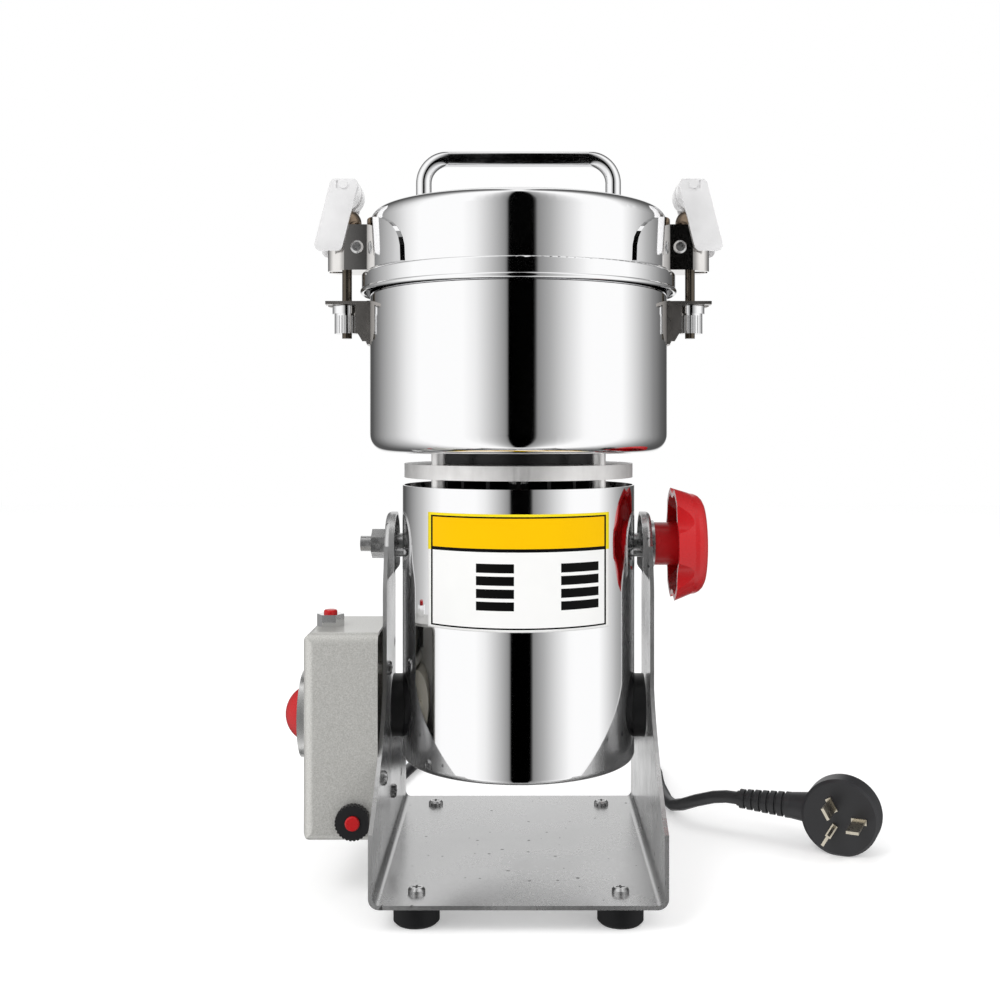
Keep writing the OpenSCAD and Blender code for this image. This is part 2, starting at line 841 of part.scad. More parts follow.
module cord_tie() {
    inner = min(coil_radius(tie_turn + 1), coil_radius(tie_turn + 2)) - cord_r - gap;
    outer = max(coil_radius(tie_turn), coil_radius(tie_turn + 3)) + cord_r + gap;
    low = coil_z - cord_r - tie_gap;
    high = coil_z + coil_pitch + cord_r + gap;
    color("dimgray") at_mill() translate([coil_at_x, coil_at_y, 0]) rotate([0, 0, 180 - 360 * tie_turn])
        rotate([90, 0, 0]) linear_extrude(height = tie_w, center = true) difference() {
            translate([(inner + outer) / 2, (low + high) / 2])
                rounded_rect(outer - inner + 2 * tie_t, high - low + 2 * tie_t, 2 * tie_t);
            translate([(inner + outer) / 2, (low + high) / 2])
                rounded_rect(outer - inner, high - low, tie_t);
        }
}

// Plug: its own z runs out of the face along the pins, and its own x toward the strain relief
module at_plug() {
    at_mill() translate([plug_x, plug_y, plug_z]) rotate([0, 0, plug_turn]) rotate([90, 0, 0])
        mirror([1, 0, 0]) translate([0, 0, plug_t / 2]) children();
}
module plug_body() {
    rib = (relief_l - relief_plain) / relief_ribs;
    root = plug_d / 2 - relief_root;
    color("black") at_plug() difference() {
        union() {
            rotate_extrude() polygon([
                [0, -plug_t], [plug_back_r, -plug_t], [plug_d / 2, -plug_t / 2],
                [plug_d / 2, -plug_edge / 2], [plug_d / 2 - plug_edge / 2, 0], [0, 0]
            ]);
            translate([root, 0, -plug_t / 2]) to_x()
                cylinder(r1 = relief_root, r2 = relief_r, h = relief_root + relief_plain);
            translate([plug_d / 2, 0, -plug_t / 2]) to_x()
                cylinder(r1 = relief_r - gland_rib_h, r2 = relief_tip_r - gland_rib_h, h = relief_l);
            for (i = [0:relief_ribs - 1])
                translate([plug_d / 2 + relief_plain + i * rib, 0, -plug_t / 2]) to_x()
                    cylinder(r = relief_r - i * (relief_r - relief_tip_r) / relief_ribs, h = relief_rib_w);
        }
        translate([-plug_d, -plug_d - plug_z, -plug_t - over])
            cube([2 * plug_d, plug_d, plug_t + 2 * over]);
    }
}
module blade_pin(l) {
    translate([-pin_t / 2, -pin_w / 2, 0]) cube([pin_t, pin_w, l]);
    translate([-pin_t / 2 - collar_w, -pin_w / 2 - collar_w, 0])
        cube([pin_t + 2 * collar_w, pin_w + 2 * collar_w, collar_l]);
}
module plug_pins() {
    color("silver") at_plug() {
        for (side = [-1, 1])
            rotate([0, 0, side * line_pin_turn]) translate([line_pin_at, 0, 0])
                rotate([0, 0, -side * line_pin_turn - side * blade_pin_turn]) blade_pin(line_pin_l);
        translate([-earth_pin_at, 0, 0]) rotate([0, 0, 90]) blade_pin(earth_pin_l);
    }
}

// Motor unit
module motor_shell() {
    color("gainsboro") at_mill() difference() {
        translate([0, 0, shell_z]) rotate_extrude() difference() {
            cup_outline(shell_r, shell_h, shell_edge_r);
            translate([0, shell_t]) cup_outline(shell_r - shell_t, shell_h, shell_edge_r - shell_t);
            translate([0, -over]) square([shell_r - shell_lip, shell_t + 2 * over]);
        }
        both_sides() {
            translate([shell_r / 2, 0, pivot_z]) to_x() cylinder(r = bolt_hole_r, h = shell_r);
            translate([shell_r / 2, 0, shell_z + cap_up]) to_x()
                cylinder(r = cap_neck_r + seat, h = shell_r);
        }
    }
}
module shell_base() {
    r = shell_r - shell_t - seat;
    color("gray") at_mill() translate([0, 0, shell_z + shell_t]) difference() {
        intersection() {
            cylinder(r = r, h = base_disc_t);
            translate([0, 0, shell_edge_r - shell_t - r]) cylinder(r1 = 0, r2 = 2 * r, h = 2 * r);
        }
        for (i = [0:vent_count - 1])
            rotate([0, 0, i * 360 / vent_count]) translate([vent_at, 0, -over])
                cylinder(r = vent_r, h = base_disc_t + 2 * over);
    }
}
module pivot_bolts() {
    inside = shell_r - shell_t - stud_head_h - stud_ring_l;
    color("silver") at_mill() for (side = [-1, 1])
        translate([side * inside, 0, pivot_z]) rotate([0, side * 90, 0]) {
            rotate([0, 0, 30]) cylinder(r = hex_across / 2, h = stud_head_h, $fn = 6);
            translate([0, 0, stud_head_h - over]) cylinder(r = spacer_r, h = stud_ring_l);
            cylinder(r = stud_r, h = (side > 0 ? knob_x + knob_stud : frame_half + stud_out) - inside);
        }
}
module pivot_nut() {
    color("silver") at_mill() translate([-frame_half - gap, 0, pivot_z]) rotate([0, -90, 0])
        difference() {
            intersection() {
                cylinder(r = hex_across / 2, h = pivot_nut_h, $fn = 6);
                cylinder(
                    r1 = hex_across / 2 + pivot_nut_h, r2 = hex_across / 2 - over,
                    h = pivot_nut_h + over);
            }
            translate([0, 0, -over]) cylinder(r = stud_r + fit, h = pivot_nut_h + 2 * over);
        }
}
module pivot_spacers() {
    color("black") at_mill() both_sides() difference() {
        translate([shell_r / 2, 0, pivot_z]) to_x()
            ring(spacer_r, stud_r + fit, shell_r / 2 + side_gap - gap);
        translate([0, 0, pivot_z - spacer_r - over])
            cylinder(r = shell_r + fit, h = 2 * (spacer_r + over));
    }
}
module stop_pins() {
    y = stop_at * cos(stop_angle);
    z = stop_at * sin(stop_angle);
    color("silver") at_mill() both_sides() difference() {
        translate([shell_r / 2, y, pivot_z + z]) to_x()
            cylinder(r = stop_r, h = shell_r / 2 + side_gap + frame_t);
        translate([0, 0, pivot_z + z - stop_r - over])
            cylinder(r = shell_r + fit, h = 2 * (stop_r + over));
    }
}
module brush_caps() {
    color("black") at_mill() both_sides() difference() {
        translate([shell_r / 2, 0, shell_z + cap_up]) to_x()
            cylinder(r = cap_r, h = shell_r / 2 + cap_t);
        difference() {
            translate([0, 0, shell_z]) cylinder(r = shell_r + fit, h = shell_h);
            translate([shell_r - shell_t - cap_neck_l, 0, shell_z + cap_up]) to_x()
                cylinder(r = cap_neck_r, h = shell_r);
        }
        translate([shell_r + cap_t - over, -cap_neck_r, shell_z + cap_up - cap_slot_w / 2])
            cube([2 * over, 2 * cap_neck_r, cap_slot_w]);
    }
}
module upper_bracket() {
    color("silver") at_mill() difference() {
        union() {
            translate([0, 0, bracket_z]) cylinder(r = bracket_r, h = bracket_t);
            translate([0, 0, bracket_z + bracket_t - bearing_h - bearing_cover])
                cylinder(r = bearing_r + bearing_wall, h = bearing_h);
            for (i = [0:3])
                rotate([0, 0, stand_angle + i * 90])
                    translate([bracket_r - stand_r - stand_edge, 0, shell_top - stand_sink])
                        cylinder(r = stand_r, h = bowl_z - shell_top + stand_sink);
        }
        translate([0, 0, shell_top]) cylinder(r = shaft_r + over, h = bowl_z);
        translate([0, 0, shell_top - over])
            cylinder(r = bearing_r + fit, h = bracket_gap + bracket_t - bearing_cover + over);
        for (i = [0:3])
            rotate([0, 0, i * 90]) translate([bracket_windows_at, 0, shell_top])
                cylinder(r = bracket_windows_r, h = bowl_z);
    }
}
module lower_bracket() {
    color("silver") at_mill() translate([0, 0, shell_z + lower_up]) difference() {
        union() {
            cylinder(r = shell_r - shell_t - seat, h = lower_plate_t);
            cylinder(r = lower_hub_r, h = lower_hub_h);
        }
        translate([0, 0, lower_hub_h - bearing_h]) cylinder(r = bearing_r + fit, h = bearing_h + over);
        for (i = [0:vent_count / 2 - 1])
            rotate([0, 0, i * 720 / vent_count]) translate([vent_at, 0, -over])
                cylinder(r = 2 * vent_r, h = lower_plate_t + 2 * over);
    }
}
module coil_places() {
    for (turn = [45, 135, 225, 315])
        rotate([0, 0, turn]) translate([coil_at, 0, 0]) children();
}
module stator_core() {
    color("gray") at_mill() translate([0, 0, shell_z + core_up]) difference() {
        cylinder(r = shell_r - shell_t - seat, h = core_h);
        translate([0, 0, -over]) cylinder(r = core_bore_r, h = core_h + 2 * over);
        coil_places() translate([0, 0, -over]) cylinder(r = coil_r + seat, h = core_h + 2 * over);
    }
}
module field_coils() {
    color("sienna") at_mill() translate([0, 0, shell_z + core_up]) {
        coil_places() translate([0, 0, -coil_r]) cylinder(r = coil_r, h = core_h + 2 * coil_r);
        for (z = [-coil_r - seat, core_h + coil_r + seat], turn = [45, 225])
            translate([0, 0, z]) rotate([0, 0, turn]) rotate_extrude(angle = 90)
                translate([coil_at, 0]) circle(r = coil_end_r);
    }
}
module brush_holders() {
    start = comm_r + gap;
    stop = shell_r - shell_t - cap_neck_l - gap;
    color("goldenrod") at_mill() both_sides()
        translate([start, -brush_w / 2, shell_z + cap_up - brush_w / 2])
            cube([stop - start, brush_w, brush_w]);
}
// Sealed bearing, with its two seals set back between the races
module ball_bearing() {
    seal_in = shaft_r + fit + bearing_race;
    difference() {
        ring(bearing_r, shaft_r + fit, bearing_h);
        translate([0, 0, -over])
            ring(bearing_r - bearing_race, seal_in, over + seal_back);
        translate([0, 0, bearing_h - seal_back])
            ring(bearing_r - bearing_race, seal_in, over + seal_back);
    }
}
module bearings() {
    color("silver") at_mill() {
        translate([0, 0, shell_z + lower_up + lower_hub_h - bearing_h]) ball_bearing();
        translate([0, 0, bracket_z + bracket_t - bearing_cover - bearing_h - fit]) ball_bearing();
    }
}
module coupling_collar() {
    color("black") at_mill() translate([0, 0, collar_z]) ring(collar_r, collar_bore_r, collar_h);
}

// Bowl and lid
module bowl() {
    color("gainsboro") at_mill() translate([0, 0, bowl_z]) rotate_extrude() difference() {
        union() {
            cup_outline(bowl_r, bowl_h + rim_up + bowl_t, bowl_corner);
            translate([0, bowl_h + rim_up]) square([band_r - bowl_t - bowl_t / 2, bowl_t]);
        }
        translate([0, bowl_t]) cup_outline(bowl_r - bowl_t, 2 * bowl_h, bowl_corner - bowl_t);
        translate([0, -over]) square([seal_r + seat, bowl_t + 2 * over]);
    }
}
module shaft_seal() {
    color("brown") at_mill() translate([0, 0, bowl_z]) difference() {
        union() {
            cylinder(r = seal_r, h = seal_h);
            translate([0, 0, bowl_t]) cylinder(r = seal_r + seal_flange, h = seal_flange_t);
        }
        translate([0, 0, -over]) cylinder(r = shaft_r + fit, h = seal_h + 2 * over);
    }
}
module lid() {
    color("gainsboro") at_mill() translate([0, 0, lid_top]) mirror([0, 0, 1]) rotate_extrude()
        difference() {
            union() {
                cup_outline(bowl_r, lid_h + over, lid_corner);
                translate([0, lid_h]) square([band_r - bowl_t, bowl_t]);
                translate([0, lid_h + bowl_t]) square([band_r, band_h - bowl_t]);
                translate([band_r - bowl_t, lid_h + bowl_t]) circle(r = bowl_t);
                translate([band_r - bowl_t / 2, lid_h + band_h - band_lip / 2])
                    circle(r = band_lip);
            }
            translate([0, bowl_t]) cup_outline(bowl_r - bowl_t, lid_h + band_h, lid_corner - bowl_t);
            translate([0, lid_h + bowl_t]) square([band_r - bowl_t, band_h + band_lip]);
            translate([band_r - bowl_t - over, lid_h + band_h]) square([bowl_t + over, band_lip]);
        }
}
module lid_gasket() {
    low = band_z + rim_up + bowl_t;
    color("white") at_mill() translate([0, 0, low])
        ring(bowl_r + 2 * bowl_t - gap, bowl_r + bowl_t - gasket_w, lid_z - bowl_t - low);
}
module lid_handle() {
    r = handle_d / 2;
    half = handle_w / 2 - r;
    bend = handle_bend - r;
    top = handle_h - r;
    color("silver") at_mill() translate([0, 0, lid_top]) {
        both_sides() {
            translate([half, 0, 0]) cylinder(r = r, h = top - bend);
            translate([half - bend, 0, top - bend]) rotate([90, 0, 0])
                rotate_extrude(angle = 90) translate([bend, 0]) circle(r = r);
        }
        translate([-half + bend, 0, top]) to_x() cylinder(r = r, h = 2 * (half - bend));
    }
}

// Blades and shaft
blade_z = bowl_z + blade_low;
blade_zs = [
    blade_z, blade_z + blade_rises[0], blade_z + blade_rises[0] + blade_rises[1]
];
nut_z = blade_zs[2] + blade_t;
// A flat bar with both tips bent up and the shaft's hole through it
module blade(half) {
    flat = half - blade_tip;
    run = blade_tip * cos(blade_bend);
    rise = blade_tip * sin(blade_bend);
    lean = blade_t * tan(blade_bend / 2);
    right = [
        [flat, 0], [flat + run, rise],
        [flat + run - blade_t * sin(blade_bend), rise + blade_t * cos(blade_bend)],
        [flat - lean, blade_t]
    ];
    difference() {
        front_slab(blade_w / 2) polygon(concat(right, flipped(right)));
        translate([0, 0, -over]) cylinder(r = shaft_r + fit, h = blade_t + 2 * over);
    }
}
module lower_blade() {
    color("silver") at_mill() translate([0, 0, blade_zs[0]]) blade(blade_half);
}
module upper_blades() {
    color("silver") at_mill() for (i = [0, 1])
        translate([0, 0, blade_zs[i + 1]]) rotate([0, 0, blade_turns[i]])
            blade(blade_half * blade_shares[i]);
}
module blade_spacers() {
    color("silver") at_mill() {
        translate([0, 0, bowl_z + seal_h + gap])
            ring(spacer_blade_r, shaft_r + fit, blade_low - seal_h - gap);
        for (i = [0, 1])
            translate([0, 0, blade_zs[i] + blade_t])
                ring(spacer_blade_r, shaft_r + fit, blade_rises[i] - blade_t);
    }
}
module blade_nut() {
    color("silver") at_mill() translate([0, 0, nut_z]) difference() {
        cylinder(r = nut_across / 2, h = nut_h, $fn = 6);
        translate([0, 0, -over]) cylinder(r = shaft_r + fit, h = nut_h + 2 * over);
    }
}
module rotor_shaft() {
    low = shell_z + lower_up + lower_hub_h - bearing_h + over;
    color("silver") at_mill() translate([0, 0, low])
        cylinder(r = shaft_r, h = nut_z + nut_h + shaft_end - low);
}
module rotor_core() {
    color("gray") at_mill() translate([0, 0, shell_z + core_up]) difference() {
        cylinder(r = rotor_r, h = core_h);
        translate([0, 0, -over]) cylinder(r = shaft_r + fit, h = core_h + 2 * over);
        for (i = [0:rotor_slots - 1])
            rotate([0, 0, i * 360 / rotor_slots])
                translate([rotor_r - rotor_slot_deep, -rotor_slot_w / 2, -over])
                    cube([rotor_slot_deep + over, rotor_slot_w, core_h + 2 * over]);
    }
}
module commutator() {
    color("peru") at_mill() translate([0, 0, shell_z + comm_up]) difference() {
        cylinder(r = comm_r, h = comm_h);
        translate([0, 0, -over]) cylinder(r = shaft_r + fit, h = comm_h + 2 * over);
        for (i = [0:comm_bars - 1])
            rotate([0, 0, i * 360 / comm_bars])
                translate([comm_r - comm_groove, -comm_groove / 2, -over])
                    cube([comm_groove + over, comm_groove, comm_h + 2 * over]);
    }
}
module cooling_fan() {
    color("black") at_mill() translate([0, 0, shell_z + fan_up]) difference() {
        union() {
            cylinder(r = fan_hub_r, h = fan_hub_h);
            cylinder(r = fan_r, h = fan_plate_t);
            for (i = [0:fan_blades - 1])
                rotate([0, 0, i * 360 / fan_blades])
                    translate([fan_hub_r - over, -fan_blade_t / 2, 0])
                        cube([fan_r - fan_hub_r, fan_blade_t, fan_h]);
        }
        translate([0, 0, -over]) cylinder(r = shaft_r + fit, h = fan_h + 2 * over);
    }
}

// Tilt clamp
module clamp_washer() {
    color("silver") at_mill() translate([frame_half + washer_gap, 0, pivot_z]) to_x()
        ring(washer_r_out, stud_r + fit, washer_t);
}
// Turned form of the knob's head, grown or shrunk by its wall
module knob_head_form(wall, low) {
    side_r = knob_face_r + (knob_d / 2 - knob_face_r) * knob_round / knob_l;
    difference() {
        rotate_extrude() polygon([
            [0, low], [knob_d / 2 - wall, low],
            for (i = [0:knob_steps])
                [side_r - wall - knob_round * (1 - cos(90 * i / knob_steps)),
                 knob_l - wall - knob_round * (1 - sin(90 * i / knob_steps))],
            [0, knob_l - wall]
        ]);
        for (i = [0:knob_lobes - 1])
            rotate([0, 0, i * 360 / knob_lobes]) translate([lobe_valley + lobe_r, 0, -over])
                cylinder(r = lobe_r + wall, h = knob_l + 2 * over);
    }
}
module clamp_knob() {
    color("red") at_mill() translate([knob_x, 0, pivot_z]) to_x() difference() {
        union() {
            difference() {
                knob_head_form(0, knob_head);
                knob_head_form(knob_wall, knob_head - over);
            }
            cylinder(r = knob_boss_r, h = knob_l - knob_wall / 2);
        }
        translate([0, 0, -over]) cylinder(r = stud_r + fit, h = knob_bore + over);
    }
}

// Latches, right side
module latch_side(side) {
    at_mill() mirror([side < 0 ? 1 : 0, 0, 0]) translate([rod_x, 0, 0]) children();
}
// Plan of the bracket: a straight part that ends in a round nose about the rod
module nose_plan(r) {
    circle(r = r);
    translate([bowl_r + pad_t - rod_x, -r]) square([rod_x - bowl_r - pad_t, 2 * r]);
}
module latch_bracket() {
    difference() {
        union() {
            translate([0, 0, bracket_low]) difference() {
                linear_extrude(height = bracket_h) nose_plan(nose_r);
                translate([0, 0, plate_t]) linear_extrude(height = bracket_h - 2 * plate_t)
                    nose_plan(nose_r - plate_t);
            }
            for (side = [-1, 1])
                translate([bowl_r + pad_t - rod_x, side > 0 ? nose_r : -bracket_y, bracket_low])
                    cube([rod_x - bowl_r - pad_t, plate_t, bracket_h]);
        }
        translate([0, 0, ball_z - over - plate_t - ball_up])
            cylinder(r = sqrt(washer_r * washer_r - ball_up * ball_up) + seat, h = 2 * plate_t + over);
        translate([0, 0, bracket_low - over]) cylinder(r = slot_half, h = plate_t + 2 * over);
        translate([0, -slot_half, bracket_low - over])
            cube([nose_r + over, 2 * slot_half, ball_z - rod_escape + over - bracket_low]);
        translate([-bracket_screw_x, -bracket_y - over, bracket_low + bracket_screw_up]) to_y()
            cylinder(r = bracket_screw_r + fit, h = 2 * (bracket_y + over));
    }
}
// Pad with an arched outline that stiffens the lid's wall under the bracket
module lid_pad() {
    translate([-rod_x, 0, 0]) intersection() {
        translate([0, 0, lid_z]) ring(bowl_r + pad_t, bowl_r + bow_gap, lid_h);
        side_slab(0, rod_x) translate([0, lid_z + pad_up]) polygon([
            for (i = [0:pad_steps])
                let(across = cos(180 * i / pad_steps), up = sin(180 * i / pad_steps))
                    [pad_half * sign(across) * pow(abs(across), pad_square), pad_h * pow(up, pad_square)]
        ]);
    }
}
module latch_brackets() {
    color("silver") for (side = [-1, 1])
        latch_side(side) {
            difference() {
                latch_bracket();
                translate([-rod_x, 0, lid_z]) cylinder(r = bowl_r + pad_t, h = lid_h);
            }
            lid_pad();
            bracket_foot();
        }
}
// Web that carries the straight cheeks round onto the pad
module bracket_foot() {
    intersection() {
        translate([-rod_x, 0, bracket_low])
            ring(bowl_r + pad_t + plate_t, bowl_r + pad_t / 2, bracket_h);
        translate([-rod_x, -bracket_y, bracket_low]) cube([rod_x, 2 * bracket_y, bracket_h]);
    }
}
module bracket_screws() {
    color("silver") for (side = [-1, 1])
        latch_side(side) translate([-bracket_screw_x, 0, bracket_low + bracket_screw_up]) {
            translate([0, -bracket_y, 0]) rotate([90, 0, 0]) screw_head(bracket_head_r, bracket_head_h);
            translate([0, -bracket_y, 0]) to_y()
                cylinder(r = bracket_screw_r, h = 2 * bracket_y + bracket_nut_h);
            translate([0, bracket_y, 0]) to_y()
                cylinder(r = bracket_nut_across / 2, h = bracket_nut_h, $fn = 6);
        }
}
module bowl_lug() {
    low = lug_top - lug_h;
    difference() {
        union() {
            intersection() {
                translate([-rod_x, 0, low]) ring(bowl_r + lug_t, bowl_r + bow_gap, lug_h);
                translate([-rod_x, -lug_back_y, low]) cube([rod_x, 2 * lug_back_y, lug_h]);
            }
            intersection() {
                translate([-rod_out, -lug_y, lug_top - lug_t]) cube([rod_out + lug_out, 2 * lug_y, lug_t]);
                difference() {
                    translate([-rod_x, 0, low]) cylinder(r = rod_x + lug_out, h = 2 * lug_h);
                    translate([-rod_x, 0, low]) cylinder(r = bowl_r + lug_t / 2, h = 2 * lug_h);
                }
            }
            for (side = [-1, 1])
                translate([0, side > 0 ? lug_y : -lug_y + lug_t, 0]) rotate([90, 0, 0])
                    linear_extrude(height = lug_t) polygon([
                        [-rod_out + lug_t / 2, lug_top - lug_t / 2],
                        [-rod_out + lug_web, lug_top - lug_t / 2],
                        [-rod_out + lug_web, lug_top - lug_web_straight],
                        [-rod_out + 2 * lug_t, low + lug_t], [-rod_out + lug_t / 2, low + lug_t]
                    ]);
        }
        translate([0, 0, lug_top - lug_t - over]) cylinder(r = slot_half, h = lug_t + 2 * over);
        translate([0, -slot_half, lug_top - lug_t - over])
            cube([lug_out + over, 2 * slot_half, lug_t + 2 * over]);
    }
}
module bowl_lugs() {
    color("silver") for (side = [-1, 1])
        latch_side(side) bowl_lug();
}
module ball_washer(side) {
    color("darkgoldenrod") latch_side(side) difference() {
        translate([0, 0, ball_z]) sphere(r = washer_r);
        translate([-washer_r, -washer_r, ball_z_top]) cube([2 * washer_r, 2 * washer_r, washer_r]);
        translate([0, 0, ball_z - washer_r - over]) cylinder(r = rod_r + fit, h = 2 * (washer_r + over));
    }
}
module pull_rod(side) {
    low = lug_top - lug_t - gap - nut_l - rod_tail;
    color("gray") latch_side(side) difference() {
        union() {
            translate([0, 0, low]) cylinder(r = rod_r, h = pin_z - low);
            translate([0, -eye_half, pin_z]) to_y() cylinder(r = eye_r, h = 2 * eye_half);
        }
        translate([0, -rod_r - over, pin_z]) to_y() cylinder(r = pin_r + fit, h = 2 * (rod_r + over));
    }
}
module knurled_nut(side) {
    color("silver") latch_side(side) translate([0, 0, lug_top - lug_t - gap - nut_l]) difference() {
        union() {
            cylinder(r = nut_r, h = nut_l);
            translate([0, 0, nut_l - nut_flange_h]) cylinder(r = nut_flange_r, h = nut_flange_h);
        }
        translate([0, 0, -over]) cylinder(r = rod_r + fit, h = nut_l + 2 * over);
        for (i = [0:nut_grooves - 1])
            rotate([0, 0, i * 360 / nut_grooves]) translate([nut_r, 0, -over])
                cylinder(r = groove_r, h = nut_l - nut_flange_h);
    }
}
// Outline of a lever's cheek about its pin: level ends, leaning sides and round corners
module cheek_plan() {
    half = (lever_w / 2 - lever_round) / cos(lever_lean);
    top = lever_above - lever_round;
    low = lever_round - lever_l;
    out = lever_round * [cos(lever_lean), sin(lever_lean)];
    up = [0, lever_round];
    a = [half - top * tan(lever_lean), top];
    b = [-half - top * tan(lever_lean), top];
    c = [-half - low * tan(lever_lean), low];
    d = [half - low * tan(lever_lean), low];
    polygon([a + out, a + up, b + up, b - out, c - out, c - up, d - up, d + out]);
    for (corner = [a, b, c, d])
        translate(corner) circle(r = lever_round);
}
module cam_lever(side) {
    web_l = (lever_l - lever_round) / cos(lever_lean);
    color("gainsboro") latch_side(side) translate([0, 0, pin_z]) {
        for (face = [-1, 1])
            translate([0, face * (lever_in + lever_t / 2), 0]) front_slab(lever_t / 2) difference() {
                cheek_plan();
                translate([cheek_slot_out, -cheek_slot[1] / 2]) square(cheek_slot);
            }
        rotate([0, -lever_lean, 0])
            translate([lever_w / 2 - lever_t, -lever_in - lever_t / 2, -web_l])
                cube([lever_t, 2 * lever_in + lever_t, web_l - web_top]);
        for (face = [-1, 1])
            intersection() {
                translate([cam_off * sin(cam_phase), 0, -cam_off * cos(cam_phase)])
                    translate([0, face > 0 ? rod_r + gap : -lever_in - lever_t / 2, 0]) to_y()
                        cylinder(r = cam_r, h = lever_in + lever_t / 2 - rod_r - gap);
                front_slab(2 * lever_in) {
                    translate([-lever_t, 0]) cheek_plan();
                    translate([-2 * cam_r, -2 * cam_r]) square([2 * cam_r, 2 * cam_r + lever_above]);
                }
            }
        translate([0, -lever_in - lever_t - pin_head, 0]) to_y()
            cylinder(r = pin_r, h = 2 * (lever_in + lever_t + pin_head));
    }
}

base_frame();
rubber_feet();
foot_screws();
control_box_cover();
control_box_screws();
timer_body();
timer_dial_plate();
timer_knob();
breaker_body();
breaker_ring_nut();
reset_button();
switch_body();
power_button();
cord_gland();
cord_run();
cord_coil();
cord_tail();
cord_tie();
plug_body();
plug_pins();
motor_shell();
shell_base();
pivot_bolts();
pivot_nut();
pivot_spacers();
stop_pins();
brush_caps();
upper_bracket();
lower_bracket();
stator_core();
field_coils();
brush_holders();
bearings();
coupling_collar();
bowl();
bowl_lugs();
shaft_seal();
lid();
lid_gasket();
lid_handle();
latch_brackets();
bracket_screws();
rotor_shaft();
rotor_core();
commutator();
cooling_fan();
lower_blade();
upper_blades();
blade_spacers();
blade_nut();
clamp_washer();
clamp_knob();
ball_washer(-1);  // ball_washer_left
pull_rod(-1);  // pull_rod_left
knurled_nut(-1);  // knurled_nut_left
cam_lever(-1);  // lever_left
ball_washer(1);  // ball_washer_right
pull_rod(1);  // pull_rod_right
knurled_nut(1);  // knurled_nut_right
cam_lever(1);  // lever_right
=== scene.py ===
# Electric grain mill with its lead and plug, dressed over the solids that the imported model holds.
import math

import bpy
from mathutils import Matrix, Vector


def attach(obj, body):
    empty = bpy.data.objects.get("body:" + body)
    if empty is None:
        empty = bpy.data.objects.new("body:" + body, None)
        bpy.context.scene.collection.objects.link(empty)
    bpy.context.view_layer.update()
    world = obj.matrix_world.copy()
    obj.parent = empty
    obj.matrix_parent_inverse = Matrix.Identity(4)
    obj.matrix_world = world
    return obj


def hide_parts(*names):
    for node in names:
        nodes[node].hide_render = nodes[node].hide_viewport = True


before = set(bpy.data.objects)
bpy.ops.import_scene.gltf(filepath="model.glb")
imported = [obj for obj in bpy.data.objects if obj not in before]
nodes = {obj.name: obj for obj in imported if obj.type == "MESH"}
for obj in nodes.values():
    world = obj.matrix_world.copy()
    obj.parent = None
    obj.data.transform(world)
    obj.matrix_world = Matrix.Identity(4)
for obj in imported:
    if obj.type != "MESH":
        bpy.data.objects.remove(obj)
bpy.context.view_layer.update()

# Camera
# It looks level along +Y at the label side, from the height of the bowl. The picture plane is
# slid a little sideways and down, so that the mill stands right of and below the middle.
mill_x = 0.006637
camera_back = 0.6325
camera_z = 0.2275
view = bpy.data.cameras.new("front_view")
view.sensor_width = 36
view.lens = 44.2
view.shift_x = -0.0185
view.shift_y = -0.072
camera = bpy.data.objects.new("front_view", view)
camera.location = (mill_x, -camera_back, camera_z)
camera.rotation_euler = (math.radians(90), 0, 0)
bpy.context.scene.collection.objects.link(camera)
bpy.context.scene.camera = camera

# Studio
# A pale floor and an even white room. Polished metal sees tall white screens to the left and
# right, a narrow dark gap between them in front, a dim back with one bright strip in it, and a
# bright ceiling and floor.
bpy.context.scene.view_settings.view_transform = "Standard"


def node_of(tree, kind, **inputs):
    """A new node with some of its sockets set, named with _ for a space."""
    made = tree.nodes.new(kind)
    for name, value in inputs.items():
        made.inputs[name.replace("_", " ")].default_value = value
    return made


def sums(tree, operation, first, second=None):
    """The result of one sum on sockets or numbers."""
    made = tree.nodes.new("ShaderNodeMath")
    made.operation = operation
    for socket, value in zip(made.inputs, (first, second)):
        if value is None:
            continue
        if isinstance(value, (int, float)):
            socket.default_value = value
        else:
            tree.links.new(value, socket)
    return made.outputs[0]


def ramp(tree, value, stops):
    """Shades or colours along a value from 0 to 1, by stops of place and shade."""
    made = tree.nodes.new("ShaderNodeValToRGB")
    band = made.color_ramp
    while len(band.elements) < len(stops):
        band.elements.new(0.5)
    for element, (place, shade) in zip(band.elements, stops):
        element.position = place
        element.color = (shade, shade, shade, 1) if isinstance(shade, (int, float)) else (*shade, 1)
    tree.links.new(value, made.inputs[0])
    return made.outputs[0]


# Brightness by direction: SCREENS by degrees round from the camera's side, more to the right,
# and SIDEWAYS and CEILING by degrees up.
SCREENS = [
    (-180, 0.85), (-169, 0.85), (-162, 0.08), (-150, 0.09), (-136, 0.2), (-122, 0.36),
    (-108, 0.54), (-92, 0.84), (-80, 1), (-42, 1), (-32, 0.87), (-20, 0.55), (-8.7, 0.25),
    (-7.5, 0), (12.3, 0), (13.5, 0.24), (24, 0.42), (36, 0.69), (50, 0.97), (56, 1),
    (84, 1), (97, 0.72), (110, 0.45), (124, 0.25), (140, 0.12), (152, 0.08), (162, 0.08),
    (169, 0.85), (180, 0.85)
]
SIDEWAYS = [(-90, 0), (-84, 0), (-78, 1), (82, 1), (86, 0), (90, 0)]
CEILING = [(-90, 0.8), (-84, 0.86), (-78, 0), (82, 0), (86, 0.95), (90, 0.95)]
screen_light = 1.12
room_light = 0.82
backdrop_light = 1

